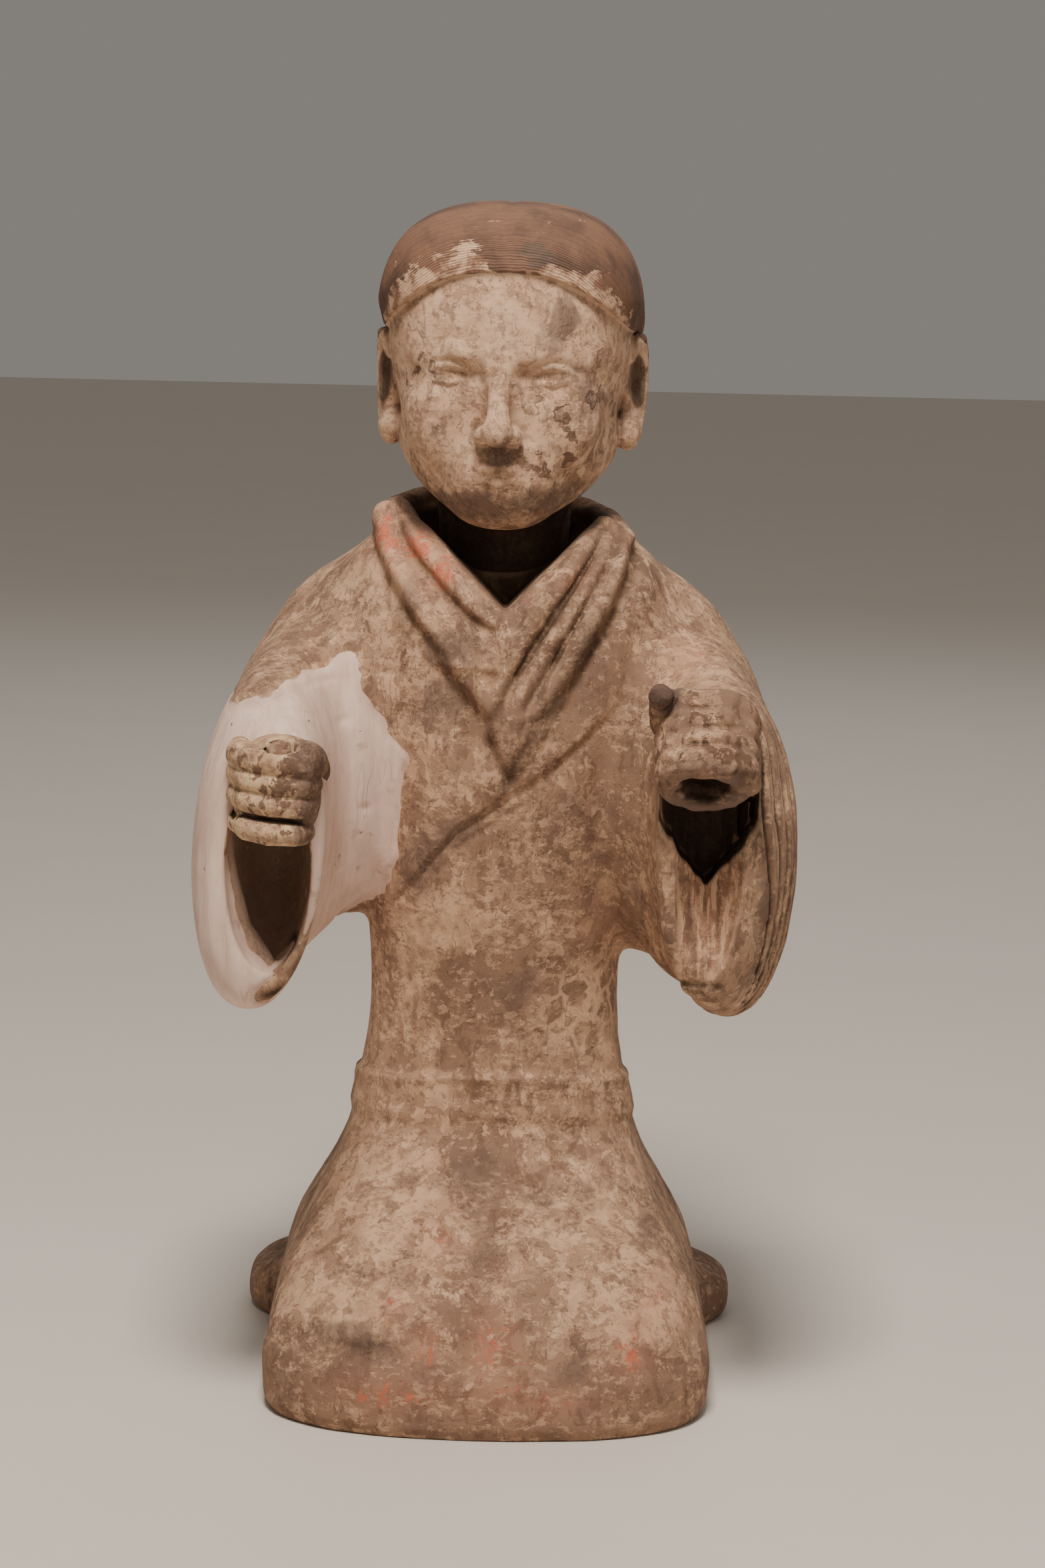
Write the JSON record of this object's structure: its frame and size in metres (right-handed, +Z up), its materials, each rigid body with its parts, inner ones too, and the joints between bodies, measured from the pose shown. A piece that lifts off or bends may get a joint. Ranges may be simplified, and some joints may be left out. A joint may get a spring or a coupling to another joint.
{
  "type": "pottery musician figurine",
  "caption": "Kneeling robed musician in fired clay, fists raised to hold an instrument, with wide hanging sleeves; rests on its flat base.",
  "frame": {"origin": "centre of the figure's bounding box, on the flat underside of the robe's hem", "axes": "+Z up along the figure's height; the figure faces -Y; +X is towards the figure's left hand"},
  "size_m": [0.1653, 0.1902, 0.335],
  "materials": {
    "fired_clay": "matte"
  },
  "bodies": {
    "root": {"musician_figurine": "fired_clay"}
  },
  "joints": []
}
